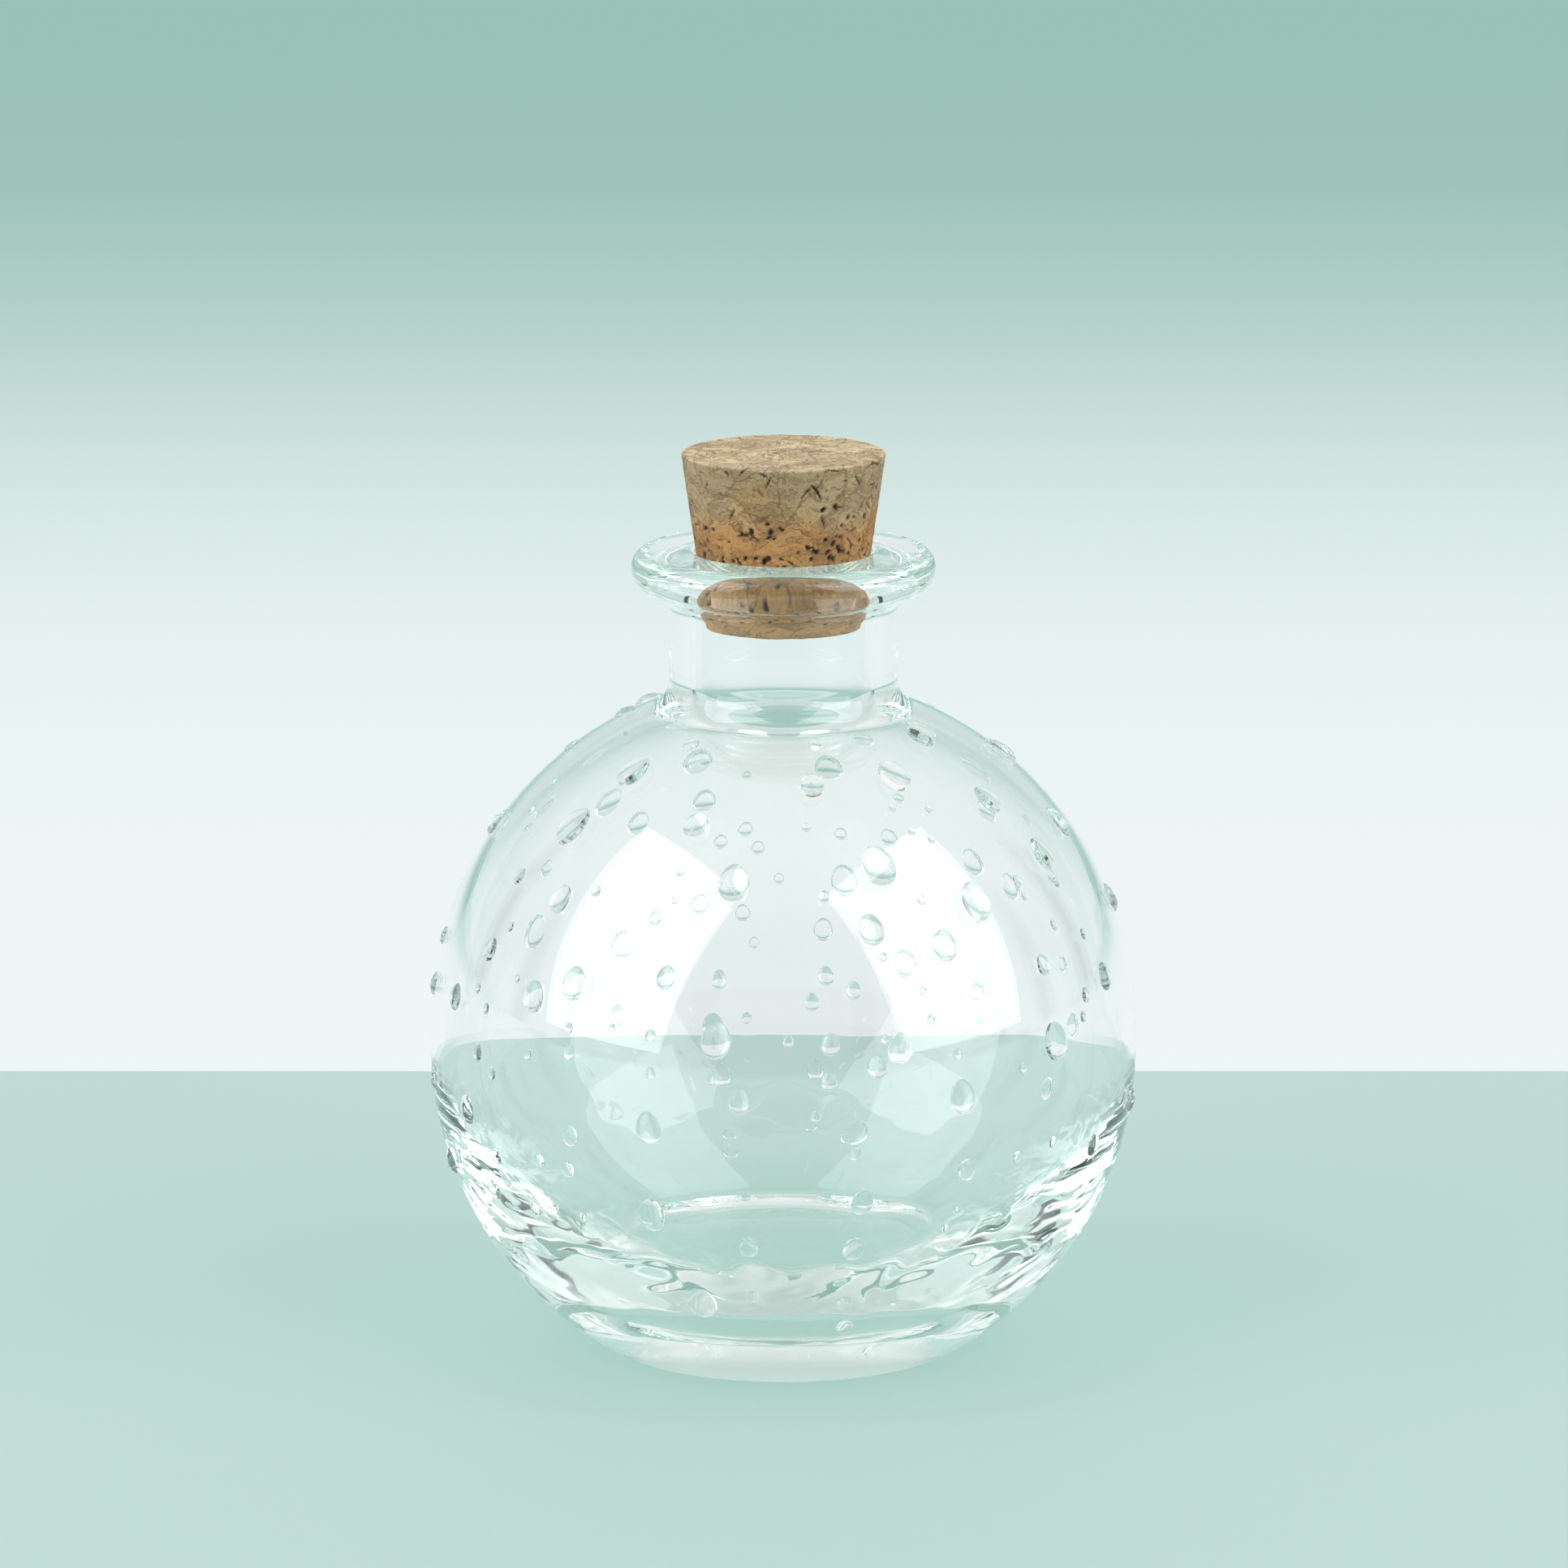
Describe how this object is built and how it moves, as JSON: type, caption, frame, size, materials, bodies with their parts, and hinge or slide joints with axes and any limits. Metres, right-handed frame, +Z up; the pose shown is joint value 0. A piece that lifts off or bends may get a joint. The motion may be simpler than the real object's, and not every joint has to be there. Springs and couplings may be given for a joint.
{
  "type": "corked glass bottle",
  "caption": "Round clear glass bottle with a thick base, a short neck, a flared lip and a tapered cork, with water drops on its wall.",
  "frame": {"origin": "middle of the flat ring that the bottle stands on", "axes": "+Z up the bottle's axis towards the cork; the drops seen in the picture face -Y"},
  "size_m": [0.086, 0.0866, 0.1094],
  "materials": {
    "clear_glass": "fire-polished clear soda-lime glass",
    "natural_cork": "raw cork with dark pits, matt",
    "water": "clear water, glossy"
  },
  "bodies": {
    "bottle": {"glass_bottle": "clear_glass", "dew_drops": "water"},
    "stopper": {"cork_stopper": "natural_cork"}
  },
  "joints": [
    {"name": "cork_pull", "type": "slide", "parent": "bottle", "child": "stopper", "axis": [0, 0, 1], "range_m": [0, 0.04]}
  ]
}
